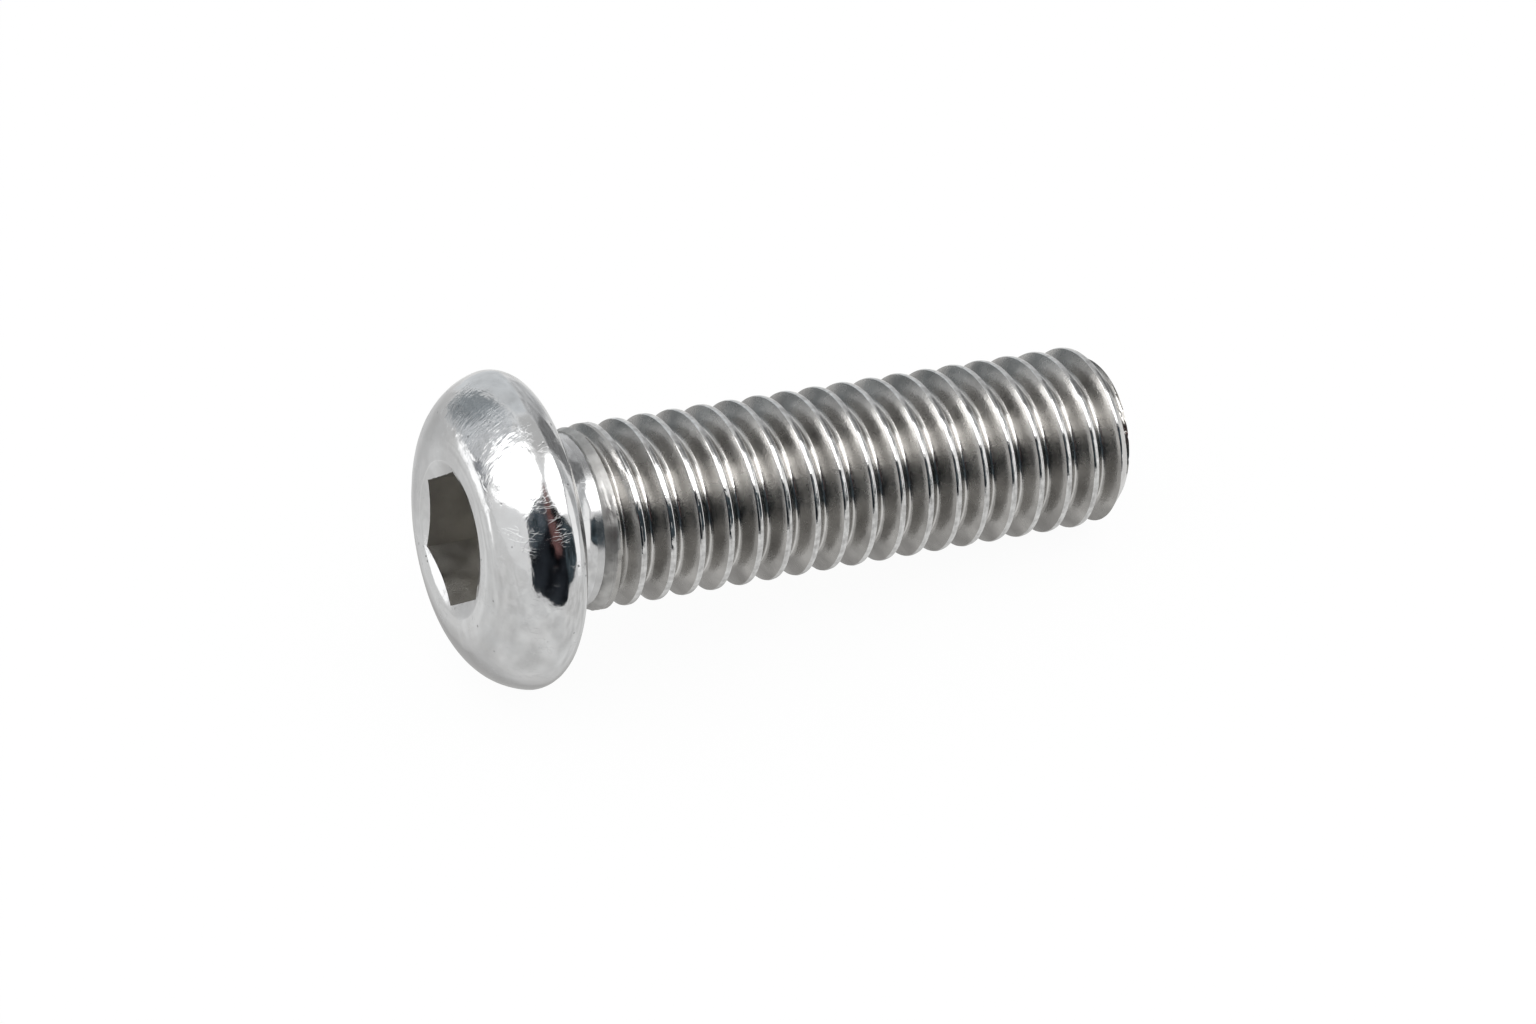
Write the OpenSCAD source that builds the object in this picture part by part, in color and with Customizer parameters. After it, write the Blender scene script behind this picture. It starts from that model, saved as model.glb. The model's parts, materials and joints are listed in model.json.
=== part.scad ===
// Button head socket screw, M6 x 1 coarse thread, 20 mm long, lying on its side.
// The screw is drawn along +Z, with the bearing face of the head at z = 0, the head below
// it and the tip at z = length. It is then laid down so that the rim of the head and the
// last full crest of the thread touch the ground, with the tip towards +X.

/* [Head] */
// Diameter across the rim of the head
head_d = 10.1; // [9.6:0.1:10.6]
// Height of the head, from the bearing face to the flat ring round the socket
head_h = 2.75; // [2.65:0.05:3.05]
// Radius of the dome between the flat ring and the rim
dome_r = 2.3; // [2.1:0.05:2.5]
// Radius of the rounding between the rim and the bearing face
edge_r = 0.8; // [0.5:0.05:0.9]
// Radius of the fillet between the bearing face and the neck
fillet_r = 0.8; // [0.3:0.05:0.9]

/* [Socket] */
// Width of the hexagon across its flats
socket_af = 4; // [3.5:0.05:4.2]
// Depth of the hexagon below the flat ring
socket_depth = 2; // [1.4:0.1:2.1]
// Depth of the shallow cone that the punch leaves at the bottom
socket_cone = 0.35; // [0.2:0.05:0.6]
// How far the countersink reaches beyond the corners of the hexagon
countersink_lip = 0.19; // [0.1:0.01:0.25]
// Angle between the two sides of the countersink
countersink_angle = 147; // [130:1:155]
// Turn of the hexagon about the axis of the screw
socket_turn = 52.5; // [0:0.5:60]

/* [Thread] */
// Diameter over the crests
thread_d = 5.9; // [5.7:0.05:6.2]
// Distance from one crest to the next
pitch = 1; // [0.75:0.05:1.25]
// Turn of the thread about the axis of the screw
thread_turn = 297; // [0:1:360]
// Length over which the groove grows from nothing to its full depth
runout_len = 1.1; // [0.6:0.1:2]
// Flats round one turn of the thread, a multiple of four
turn_steps = 40; // [24:4:48]

/* [Shank] */
// Length from the bearing face to the tip
length = 20; // [12:1:30]
// Length of the plain neck under the head
neck_len = 1.3; // [0.8:0.1:2]
// How much narrower the plain neck is than the thread
neck_step = 0.4; // [0.3:0.05:0.5]
// Diameter of the flat end
tip_d = 4.9; // [4.6:0.05:5.2]
// Angle between the chamfer of the tip and the axis
tip_angle = 43; // [35:1:55]

/* [Hidden] */

STEEL = [0.76, 0.76, 0.75];
ROUND = 96;
// Overlap of shapes that are joined or cut, so that no two faces coincide
bite = 0.05;

head_r = head_d / 2;
dome_over_edge = head_h - dome_r - edge_r;
edge_turn = asin(dome_over_edge / (dome_r - edge_r));
flat_r = head_r - edge_r - (dome_r - edge_r) * cos(edge_turn);
dome_centre = [flat_r, dome_r - head_h];
edge_centre = [head_r - edge_r, -edge_r];

socket_r = socket_af / sqrt(3);
countersink_r = socket_r + countersink_lip;
countersink_slope = tan(countersink_angle / 2);
countersink_h = (countersink_r - socket_af / 2 + bite) / countersink_slope;

crest_r = thread_d / 2;
neck_r = crest_r - neck_step / 2;
// Height of the sharp triangle that the thread is cut from
sharp_h = pitch * sqrt(3) / 2;
root_r = crest_r - sharp_h * 0.65;
root_round = sharp_h / 6;
root_side_r = root_r + root_round / 2;
root_half = root_round * cos(30) / pitch;
crest_half = 0.5 - root_half - (crest_r - root_side_r) * tan(30) / pitch;
first_crest = pitch * thread_turn / 360;
thread_depth = crest_r - root_r;

// One pitch of the thread: place along the pitch, as a share of it, and radius
PROFILE = [
    [-crest_half, crest_r],
    [crest_half, crest_r],
    [0.5 - root_half, root_side_r],
    [0.5, root_r],
    [0.5 + root_half, root_side_r]
];
LAST = len(PROFILE);

// The threaded rod starts inside the neck, a little narrower than it, and is cut off at
// the tip
rod_r = neck_r - bite;
rod_start = neck_len - 4 * bite;
thread_start = neck_len + bite / 2;
thread_end = length + pitch / 2;
shoulder_len = 0.35;

tip_r = tip_d / 2;
chamfer_start = length - (crest_r - tip_r) / tan(tip_angle);
// The chamfer cone starts clear of the crests
cone_r = crest_r + 6 * bite;
cone_start = length - (cone_r - tip_r) / tan(tip_angle);

// The lowest line of the lying screw: the rim, and the far edge of the last full crest
last_crest = floor((chamfer_start - first_crest) / pitch + crest_half);
contact_z = min(first_crest + (last_crest + crest_half) * pitch, chamfer_start);
contact_run = contact_z - edge_centre[1];
contact_drop = edge_centre[0] - crest_r;
lie_angle = atan2(contact_drop, contact_run)
    + asin(edge_r / norm([contact_drop, contact_run]));
ground = contact_z * sin(lie_angle) + crest_r * cos(lie_angle);
head_reach = dome_centre[1] * cos(lie_angle) - dome_centre[0] * sin(lie_angle) - dome_r;
tip_reach = length * cos(lie_angle) + max([for (j = [0 : turn_steps - 1])
    -cos(column_turn(j)) * min(tip_r, thread_r(length, column_turn(j)))]) * sin(lie_angle);

// Angle of column j of the thread about the axis
function column_turn(j) = j * 360 / turn_steps;

// Height of row g of the thread in the column at angle turn
function row_z(g, turn) =
    first_crest + pitch * (floor(g / LAST) + PROFILE[g - LAST * floor(g / LAST)][0] + turn / 360);

// Radius of the full thread at height z and angle turn
function thread_r(z, turn) =
    let (share = (z - first_crest) / pitch - turn / 360)
    lookup(share - floor(share + crest_half), concat(PROFILE, [[1 - crest_half, crest_r]]));

// Radius of the bar before threading: it swells from the neck to the crests
function bar_r(z) = min(crest_r, rod_r + (crest_r - rod_r) * max(0, z - neck_len) / shoulder_len);

// How far the groove is lifted out of the bar where it runs out at the neck
function groove_lift(z) = thread_depth * max(0, min(1, (neck_len + runout_len - z) / runout_len));

// Radius of row g of the thread at height z
function row_r(g, z) = min(bar_r(z), PROFILE[g - LAST * floor(g / LAST)][1] + groove_lift(z));

// A point of the rod from its radius, angle and height
function rod_point(r, turn, z) = [r * cos(turn), r * sin(turn), z];

module dome_profile() {
    intersection() {
        translate(dome_centre) circle(r = dome_r, $fn = ROUND);
        polygon([
            dome_centre,
            [flat_r, -2 * head_h],
            [2 * head_r, -2 * head_h],
            dome_centre + 2 * head_d * [cos(edge_turn), sin(edge_turn)]
        ]);
    }
}

module head_profile() {
    dome_profile();
    translate(edge_centre) circle(r = edge_r, $fn = ROUND);
    polygon([
        [0, -head_h],
        [flat_r, -head_h],
        dome_centre,
        edge_centre,
        [edge_centre[0], 0],
        [0, 0]
    ]);
}

module fillet_profile() {
    difference() {
        translate([0, -edge_r]) square([neck_r + fillet_r, edge_r + fillet_r]);
        translate([neck_r + fillet_r, fillet_r]) circle(r = fillet_r, $fn = ROUND);
    }
}

module head_and_neck() {
    rotate_extrude($fn = ROUND) {
        head_profile();
        fillet_profile();
        square([neck_r, neck_len]);
    }
}

// Hexagon, its countersink and the cone at its bottom
module socket() {
    translate([0, 0, -head_h]) {
        rotate(socket_turn) translate([0, 0, -1]) cylinder(r = socket_r, h = 1 + socket_depth, $fn = 6);
        translate([0, 0, -bite])
            cylinder(
                r1 = countersink_r + bite * countersink_slope,
                r2 = countersink_r - countersink_h * countersink_slope,
                h = bite + countersink_h,
                $fn = ROUND
            );
        translate([0, 0, socket_depth - bite])
            cylinder(r1 = socket_af / 2 - bite, r2 = 0, h = socket_cone + bite, $fn = ROUND);
    }
}

// The rod is a grid of points: a column every few degrees round the axis, and rows that
// follow the helix, so that one turn on, a row meets the next row of its kind. Where the
// helix leaves the rod at either end, the rows of a column stop at a flat ring.
module threaded_rod() {
    margin = 0.3 * crest_half * pitch;
    row_low = LAST * floor((thread_start - first_crest) / pitch - 2);
    row_high = LAST * ceil((thread_end - first_crest) / pitch + 1);
    first_row = [for (j = [0 : turn_steps - 1])
        min([for (g = [row_low : row_high]) if (row_z(g, column_turn(j)) > thread_start + margin) g])];
    last_row = [for (j = [0 : turn_steps - 1])
        max([for (g = [row_low : row_high]) if (row_z(g, column_turn(j)) < thread_end - margin) g])];
    rows = row_high - row_low + 5;

    // Places of the rings and rows of a column in the list of points
    function ring_start(j) = j * rows;
    function ring_thread(j) = j * rows + 1;
    function ring_end(j) = (j + 1) * rows - 1;
    function grid(j, g) =
        j == turn_steps ? grid(0, g + LAST)
        : g < first_row[j] ? ring_thread(j)
        : g > last_row[j] ? ring_end(j)
        : j * rows + 2 + g - row_low;

    points = [for (j = [0 : turn_steps - 1]) let (turn = column_turn(j)) each concat(
        [rod_point(rod_r, turn, rod_start), rod_point(rod_r, turn, thread_start)],
        [for (g = [row_low : row_high + 1]) let (z = row_z(g, turn)) rod_point(row_r(g, z), turn, z)],
        [rod_point(thread_r(thread_end, turn), turn, thread_end)]
    )];
    start_centre = turn_steps * rows;
    end_centre = start_centre + 1;

    // The two triangles of each cell, less those that a ring has closed up
    cells = [
        for (j = [0 : turn_steps - 1], g = [row_low - LAST : row_high])
        let (a = grid(j, g), b = grid(j, g + 1), c = grid(j + 1, g + 1), d = grid(j + 1, g))
        each [[a, b, c], [a, c, d]]
    ];
    open_cells = [for (f = cells) if (f[0] != f[1] && f[1] != f[2] && f[2] != f[0]) f];
    ends = [
        for (j = [0 : turn_steps - 1]) let (k = (j + 1) % turn_steps) each [
            [start_centre, ring_start(j), ring_start(k)],
            [ring_start(j), ring_thread(j), ring_thread(k)],
            [ring_start(j), ring_thread(k), ring_start(k)],
            [end_centre, ring_end(k), ring_end(j)]
        ]
    ];
    polyhedron(
        points = concat(points, [[0, 0, rod_start], [0, 0, thread_end]]),
        faces = concat(open_cells, ends)
    );
}

// The space inside the chamfer and behind the flat end
module tip_space() {
    cylinder(r = cone_r, h = cone_start, $fn = ROUND);
    translate([0, 0, cone_start]) cylinder(r1 = cone_r, r2 = tip_r, h = length - cone_start, $fn = ROUND);
}

module upright_screw() {
    difference() {
        head_and_neck();
        socket();
    }
    intersection() {
        threaded_rod();
        tip_space();
    }
}

module screw() {
    color(STEEL)
        translate([-(head_reach + tip_reach) / 2, 0, ground])
            rotate([0, 90 + lie_angle, 0])
                upright_screw();
}

screw();
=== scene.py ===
"""Dresses the button head socket screw: polished head, punched socket and rolled thread.

The screw is drawn in millimetres along its own axis, with +Z from the bearing face of the
head to the tip. One path of rings runs from the bottom of the socket, over the head, the
neck and the thread, to the middle of the tip, so the skin is closed. The skin is then laid
down in the row frame, in metres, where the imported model's mounts say.
"""

import json
import logging
import math
from dataclasses import dataclass, field
from enum import Enum

import bpy
import numpy as np
from mathutils import Matrix, Vector


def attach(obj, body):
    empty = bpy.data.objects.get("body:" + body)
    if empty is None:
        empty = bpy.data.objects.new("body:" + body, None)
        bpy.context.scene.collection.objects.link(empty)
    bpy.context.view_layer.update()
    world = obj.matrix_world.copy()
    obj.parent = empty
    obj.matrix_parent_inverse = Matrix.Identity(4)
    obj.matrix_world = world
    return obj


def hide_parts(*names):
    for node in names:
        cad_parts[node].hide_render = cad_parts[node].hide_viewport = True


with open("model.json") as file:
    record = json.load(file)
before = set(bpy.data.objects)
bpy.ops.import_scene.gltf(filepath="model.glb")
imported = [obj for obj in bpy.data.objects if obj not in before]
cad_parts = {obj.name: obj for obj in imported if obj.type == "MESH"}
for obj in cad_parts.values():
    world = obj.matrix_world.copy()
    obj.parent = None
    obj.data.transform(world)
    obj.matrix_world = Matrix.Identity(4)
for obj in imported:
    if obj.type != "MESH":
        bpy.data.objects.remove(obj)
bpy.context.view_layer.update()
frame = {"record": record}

MM = 0.001
TURN = 2 * math.pi
# Columns of points round the axis. A multiple of 48 puts one on each corner of the hexagon.
COLUMNS = 144
# Faces that meet at more than this keep a sharp edge between them.
SHARP_EDGE_DEG = 33
# A place on the near side of the head, in millimetres, which the far cards stand round.
HEAD_CENTRE = (-10.2, -2.0, 5.0)
WHITE = (1.0, 1.0, 1.0)
# Both softboxes are this many times as bright as white paper.
SOFTBOX_LEVEL = 3.8
# Most values of Blender's cloudy noise lie between these.
CLOUDY = (0.35, 0.65)
LOG = logging.getLogger("screw")

Colour = tuple[float, float, float]
# What one node of a material hands on to another.
Feed = bpy.types.NodeSocket


class Region(Enum):
    """Parts of the skin that are finished in their own way."""

    SOCKET = 0
    HEAD = 1
    NECK = 2
    FLANK = 3
    CREST = 4
    TIP = 5
    VALLEY = 6
    RIDGE = 7


class Ripple:
    """Smooth, seeded unevenness of a surface: a sum of plane waves."""

    def __init__(self, seed: int, wavelength: float, waves: int = 30) -> None:
        """Draws the waves.

        Args:
            seed: Seed of the random draw.
            wavelength: Typical distance between two crests, in millimetres.
            waves: Number of waves that are added up.
        """
        rng = np.random.default_rng(seed)
        ways = rng.normal(size=(waves, 3))
        ways /= np.linalg.norm(ways, axis=1, keepdims=True)
        self.ways = ways * (TURN / wavelength) * rng.uniform(0.6, 1.5, (waves, 1))
        self.phases = rng.uniform(0, TURN, waves)

    def at(self, points: np.ndarray) -> np.ndarray:
        """Gives the unevenness at some points.

        Args:
            points: Places in millimetres, the last axis being x, y, z.

        Returns:
            Values of about -1 to 1, one for each point.
        """
        waves = np.cos(points @ self.ways.T + self.phases)
        return waves.sum(axis=-1) * math.sqrt(0.5 / len(self.phases))


def smooth_step(value: np.ndarray, low: float, high: float) -> np.ndarray:
    """Rises smoothly from 0 at low to 1 at high.

    Args:
        value: What is compared with the limits.
        low: Limit below which the result is 0.
        high: Limit above which the result is 1.

    Returns:
        Shares between 0 and 1, shaped as value is.
    """
    share = np.clip((value - low) / (high - low), 0, 1)
    return share * share * (3 - 2 * share)


def turns() -> np.ndarray:
    """Angles of the columns about the axis, in radians."""
    return np.arange(COLUMNS) * TURN / COLUMNS


def ring(radius: float | np.ndarray, height: float | np.ndarray) -> np.ndarray:
    """Points of one ring about the axis.

    Args:
        radius: Radius in millimetres, one for all columns or one each.
        height: Height in millimetres, one for all columns or one each.

    Returns:
        An array of COLUMNS points.
    """
    angle = turns()
    flat = np.stack([radius * np.cos(angle), radius * np.sin(angle)], axis=-1)
    return np.column_stack([flat, np.broadcast_to(height, angle.shape)])


def spin(radii: np.ndarray, heights: np.ndarray) -> np.ndarray:
    """Points of a grid with a row for each column of the screw, from radii and heights."""
    angle = turns()[:, None]
    return np.stack([radii * np.cos(angle), radii * np.sin(angle), heights], axis=-1)


def arc(
    centre: tuple[float, float], radius: float, angles: np.ndarray
) -> list[tuple[float, float]]:
    """Points of a round stretch of the screw's outline.

    Args:
        centre: Distance of its middle from the axis, and the middle's height.
        radius: Its radius.
        angles: Angles of its points, in radians, from pointing away from the axis.

    Returns:
        Pairs of radius and height.
    """
    across, up = centre
    return [(across + radius * math.cos(a), up + radius * math.sin(a)) for a in angles]


def directions(turn_deg: float | np.ndarray, rise_deg: float | np.ndarray) -> np.ndarray:
    """Directions of length 1.

    Args:
        turn_deg: Azimuths in degrees, from +Y towards +X.
        rise_deg: Elevations in degrees.

    Returns:
        The directions, the last axis being x, y, z.
    """
    turn, rise = np.radians(turn_deg), np.radians(rise_deg)
    flat = np.cos(rise)
    return np.stack([np.sin(turn) * flat, np.cos(turn) * flat, np.sin(rise)], axis=-1)


def unit(ways: np.ndarray) -> np.ndarray:
    """Directions, all brought to length 1."""
    return ways / np.linalg.norm(ways, axis=-1, keepdims=True)


def mark(mesh: bpy.types.Mesh, name: str, values: np.ndarray | list[float]) -> None:
    """Stores a value or a vector at each point of a mesh.

    Args:
        mesh: The mesh.
        name: Name by which a material reads the values.
        values: One value for each point, or one row of three.
    """
    numbers = np.asarray(values, dtype=np.float32)
    kind, key = ("FLOAT", "value") if numbers.ndim == 1 else ("FLOAT_VECTOR", "vector")
    mesh.attributes.new(name, kind, "POINT").data.foreach_set(key, numbers.ravel())


def add_object(name: str, data: bpy.types.ID) -> bpy.types.Object:
    """Makes an object and links it to the scene.

    Args:
        name: Name of the object.
        data: Its mesh, lamp or camera.

    Returns:
        The object.
    """
    made = bpy.data.objects.new(name, data)
    bpy.context.scene.collection.objects.link(made)
    return made


@dataclass
class Skin:
    """The closed skin of the screw, made ring by ring."""

    points: list[np.ndarray] = field(default_factory=list)
    faces: list[tuple[int, ...]] = field(default_factory=list)
    regions: list[int] = field(default_factory=list)
    count: int = 0

    def add(self, points: np.ndarray) -> np.ndarray:
        """Adds points and gives their numbers.

        Args:
            points: Places in millimetres, one row each.

        Returns:
            The numbers of the new points.
        """
        self.points.append(points)
        numbers = np.arange(self.count, self.count + len(points))
        self.count += len(points)
        return numbers

    def face(self, corners: tuple[int, ...], region: Region) -> None:
        """Adds one face, less the corners that coincide, if it still has an area.

        Args:
            corners: Point numbers of its corners.
            region: Part of the skin that it belongs to.
        """
        kept = tuple(c for i, c in enumerate(corners) if c != corners[i - 1])
        if len(kept) > 2:
            self.faces.append(tuple(int(c) for c in kept))
            self.regions.append(region.value)

    def band(self, before: np.ndarray, after: np.ndarray, region: Region) -> None:
        """Joins two rings with a band of faces.

        Args:
            before: Point numbers of the ring that comes first on the path.
            after: Point numbers of the ring that comes next.
            region: Part of the skin that the band belongs to.
        """
        for j in range(COLUMNS):
            k = (j + 1) % COLUMNS
            self.face((before[j], before[k], after[k], after[j]), region)

    def run(self, start: np.ndarray, rings: list[np.ndarray], region: Region) -> np.ndarray:
        """Carries the skin on over a list of rings.

        Args:
            start: Point numbers of the ring that the skin has reached.
            rings: The next rings, in their order along the path.
            region: Part of the skin that the bands belong to.

        Returns:
            Point numbers of the last ring.
        """
        for points in rings:
            numbers = self.add(points)
            self.band(start, numbers, region)
            start = numbers
        return start

    def fan(self, rim: np.ndarray, height: float, region: Region, opens: bool) -> None:
        """Closes the skin from a ring to a point on the axis.

        Args:
            rim: Point numbers of the ring.
            height: Height of the point on the axis.
            region: Part of the skin that the fan belongs to.
            opens: True where the path starts at the point, False where it ends there.
        """
        centre = int(self.add(np.array([[0.0, 0.0, height]]))[0])
        for j in range(COLUMNS):
            k = (j + 1) % COLUMNS
            pair = (rim[k], rim[j]) if opens else (rim[j], rim[k])
            self.face((centre, *pair), region)


@dataclass(frozen=True)
class Relief:
    """Fine unevenness that only bends the light: the size and depth of its features."""

    size: float
    depth: float


@dataclass(frozen=True)
class Wear:
    """Pits, whose colour is darkened as painted shade, and badly polished patches. Lengths are in
    millimetres.
    """

    pit_spacing: float = 0.28
    pit_share: float = 0.1
    pit_depth: float = 0.004
    # How dark a pit's colour is made: painted shade in the hollow.
    pit_painted_shade: float = 0.45
    brushed: Relief = Relief(0.11, 0.016)
    brushed_stretch: tuple[float, float, float] = (0.35, 1, 0.35)
    hammered: Relief = Relief(0.3, 0.008)
    patch_rough: float = 0.05


@dataclass(frozen=True)
class SteelFinish:
    """How one part of the steel is finished. Lengths are in millimetres."""

    name: str
    tint: Colour
    stain: Colour
    stain_size: float
    rough: tuple[float, float]
    rough_size: float
    grain: Relief
    peel: Relief
    streak_depth: float = 0.0
    scratch_depth: float = 0.0
    scratch_rough: float = 0.12
    wear: Wear | None = None

    def material(self) -> bpy.types.Material:
        """Makes the material of this finish.

        Returns:
            The material.
        """
        material = bpy.data.materials.new(self.name)
        bench = Bench(material)
        worn = bench.spread(bench.noise(self.stain_size, detail=4), *CLOUDY, 0.0, 1.0)
        colour = bench.mix(worn, (*self.tint, 1), (*self.stain, 1))
        rough = bench.spread(bench.noise(self.rough_size, detail=3), *CLOUDY, *self.rough)
        normal = bench.bump(bench.noise(self.grain.size), self.grain.depth)
        normal = bench.bump(bench.noise(self.peel.size, detail=1), self.peel.depth, normal)
        if self.streak_depth:
            normal = bench.bump(bench.streaks(), self.streak_depth, normal)
        if self.scratch_depth:
            scratches = bench.scratches()
            normal = bench.bump(scratches, -self.scratch_depth, normal)
            rough = bench.total(rough, bench.product(scratches, self.scratch_rough))
        if self.wear:
            wear, patch = self.wear, bench.mask("worked_patch")
            pits = bench.pits(wear.pit_spacing, wear.pit_share)
            normal = bench.bump(pits, -wear.pit_depth, normal)
            # Painted shade: the colour is darkened inside each pit.
            colour = bench.mix(pits, colour, (*[wear.pit_painted_shade] * 3, 1), "MULTIPLY")
            brushed = bench.noise(wear.brushed.size, stretch=wear.brushed_stretch)
            normal = bench.bump(bench.product(patch, brushed), wear.brushed.depth, normal)
            hammered = bench.noise(wear.hammered.size, detail=1)
            normal = bench.bump(bench.product(patch, hammered), wear.hammered.depth, normal)
            rough = bench.total(rough, bench.product(patch, wear.patch_rough))
        steel = {"Metallic": 1.0, "Base Color": colour, "Roughness": rough, "Normal": normal}
        bench.end(bench.node("ShaderNodeBsdfPrincipled", steel).outputs["BSDF"])
        return material


class Bench:
    """Lays out and links the nodes of one material."""

    def __init__(self, material: bpy.types.Material) -> None:
        """Clears the material's nodes.

        Args:
            material: The material that the nodes are laid out for.
        """
        material.use_nodes = True
        self.tree = material.node_tree
        self.tree.nodes.clear()
        self.place = self.node("ShaderNodeTexCoord").outputs["Object"]

    def node(
        self, kind: str, inputs: dict[str | int, object] | None = None, **settings: object
    ) -> bpy.types.Node:
        """Adds a node.

        Args:
            kind: Blender's name for its kind.
            inputs: What feeds its inputs: a socket, or a value that is set.
            settings: Its other settings.

        Returns:
            The node.
        """
        node = self.tree.nodes.new(kind)
        for name, value in settings.items():
            setattr(node, name, value)
        for key, value in (inputs or {}).items():
            if isinstance(value, Feed):
                self.tree.links.new(value, node.inputs[key])
            else:
                node.inputs[key].default_value = value
        return node

    def end(self, surface: Feed) -> None:
        """Makes a shader the surface of the material."""
        self.node("ShaderNodeOutputMaterial", {"Surface": surface})

    def glow(self, share: Feed, base: Feed, colour: Colour, strength: float | Feed) -> None:
        """Ends the material with a glow that stands in for another shader.

        Args:
            share: 1 where only the glow shows, and 0 where only the other shader does.
            base: The other shader.
            colour: Red, green and blue of the glow.
            strength: How bright the glow is.
        """
        glow = self.node("ShaderNodeEmission", {"Color": (*colour, 1), "Strength": strength})
        mixed = {"Fac": share, 1: base, 2: glow.outputs["Emission"]}
        self.end(self.node("ShaderNodeMixShader", mixed).outputs["Shader"])

    def noise(
        self, size: float, detail: float = 2, stretch: tuple[float, float, float] = (1, 1, 1)
    ) -> Feed:
        """Cloudy noise.

        Args:
            size: Size of its features in millimetres.
            detail: How many finer layers it has.
            stretch: Below 1 where the features are drawn out along an axis.

        Returns:
            The noise, from 0 to 1.
        """
        drawn = self.node("ShaderNodeVectorMath", {0: self.place, 1: stretch}, operation="MULTIPLY")
        place = drawn.outputs["Vector"]
        inputs = {"Vector": place, "Scale": 1 / (size * MM), "Detail": detail}
        return self.node("ShaderNodeTexNoise", inputs).outputs["Fac"]

    def streaks(self, lines: float = 7.0) -> Feed:
        """Fine lines along the helix, as the rolling dies leave them.

        Args:
            lines: How many lines there are to one unit of the mesh's lay.

        Returns:
            The lines, from 0 to 1.
        """
        lay = self.node("ShaderNodeAttribute", attribute_name="lay").outputs["Vector"]
        inputs = {"Vector": lay, "Scale": lines, "Detail": 3}
        return self.node("ShaderNodeTexNoise", inputs).outputs["Fac"]

    def scratches(self) -> Feed:
        """Thin handling scratches that lie in two directions, in places only.

        Returns:
            1 in a scratch and 0 around it.
        """
        spacing, patch_size = 0.16, 0.9
        bottom, rim, bare, marked = 0.003, 0.009, 0.53, 0.6
        found = None
        for stretch in ((0.12, 1.0, 0.2), (0.25, 0.15, 1.0)):
            lines = self.total(self.noise(spacing, stretch=stretch), -0.5)
            thin = self.spread(self.maths("ABSOLUTE", lines, 0.0), bottom, rim, 1.0, 0.0)
            places = self.spread(self.noise(patch_size), bare, marked, 0.0, 1.0)
            these = self.product(thin, places)
            found = these if found is None else self.maths("MAXIMUM", found, these)
        return found

    def pits(self, spacing: float, share: float) -> Feed:
        """Small scattered pits.

        Args:
            spacing: Size in millimetres of the cells that may hold a pit.
            share: Share of the cells that hold one.

        Returns:
            1 in a pit and 0 around it.
        """
        bottom, rim = 0.09, 0.2
        inputs = {"Vector": self.place, "Scale": 1 / (spacing * MM)}
        cells = self.node("ShaderNodeTexVoronoi", inputs).outputs
        near = self.spread(cells["Distance"], bottom, rim, 1.0, 0.0)
        rare = self.node("ShaderNodeSeparateColor", {"Color": cells["Color"]}).outputs["Red"]
        return self.product(near, self.spread(rare, share, share + 0.01, 1.0, 0.0))

    def mask(self, name: str) -> Feed:
        """A value that the mesh carries at its points."""
        return self.node("ShaderNodeAttribute", attribute_name=name).outputs["Fac"]

    def maths(self, operation: str, first: float | Feed, second: float | Feed) -> Feed:
        """Combines two values by one of Blender's maths operations."""
        node = self.node("ShaderNodeMath", {0: first, 1: second}, operation=operation)
        return node.outputs["Value"]

    def product(self, first: float | Feed, second: float | Feed) -> Feed:
        """Multiplies two values."""
        return self.maths("MULTIPLY", first, second)

    def total(self, first: float | Feed, second: float | Feed) -> Feed:
        """Adds two values."""
        return self.maths("ADD", first, second)

    def spread(self, value: Feed, low: float, high: float, start: float, end: float) -> Feed:
        """Stretches a value from one range to another, and holds it there.

        Args:
            value: The value that is stretched.
            low: Value that becomes start.
            high: Value that becomes end.
            start: Result at low.
            end: Result at high.

        Returns:
            The stretched value.
        """
        limits = {"From Min": low, "From Max": high, "To Min": start, "To Max": end}
        return self.node("ShaderNodeMapRange", {"Value": value, **limits}).outputs["Result"]

    def mix(
        self,
        share: Feed,
        first: tuple[float, ...] | Feed,
        second: tuple[float, ...] | Feed,
        blend: str = "MIX",
    ) -> Feed:
        """Mixes two colours.

        Args:
            share: How far the second colour shows, from 0 to 1.
            first: The first colour, with its alpha.
            second: The second colour, with its alpha.
            blend: How the second is laid on the first.

        Returns:
            The mixed colour.
        """
        node = self.node("ShaderNodeMix", {"Factor": share}, data_type="RGBA", blend_type=blend)
        for socket, colour in zip((s for s in node.inputs if s.type == "RGBA"), (first, second)):
            if isinstance(colour, Feed):
                self.tree.links.new(colour, socket)
            else:
                socket.default_value = colour
        return next(s for s in node.outputs if s.type == "RGBA")

    def bump(self, height: Feed, depth: float, normal: Feed | None = None) -> Feed:
        """Raises a relief.

        Args:
            height: The relief, from 0 to 1.
            depth: Height of a relief of 1, in millimetres; below 0 it sinks.
            normal: Relief that this one is laid on.

        Returns:
            The bent normal.
        """
        inputs = {"Strength": 1.0, "Distance": abs(depth) * MM, "Height": height}
        if normal is not None:
            inputs["Normal"] = normal
        return self.node("ShaderNodeBump", inputs, invert=depth < 0).outputs["Normal"]


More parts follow.
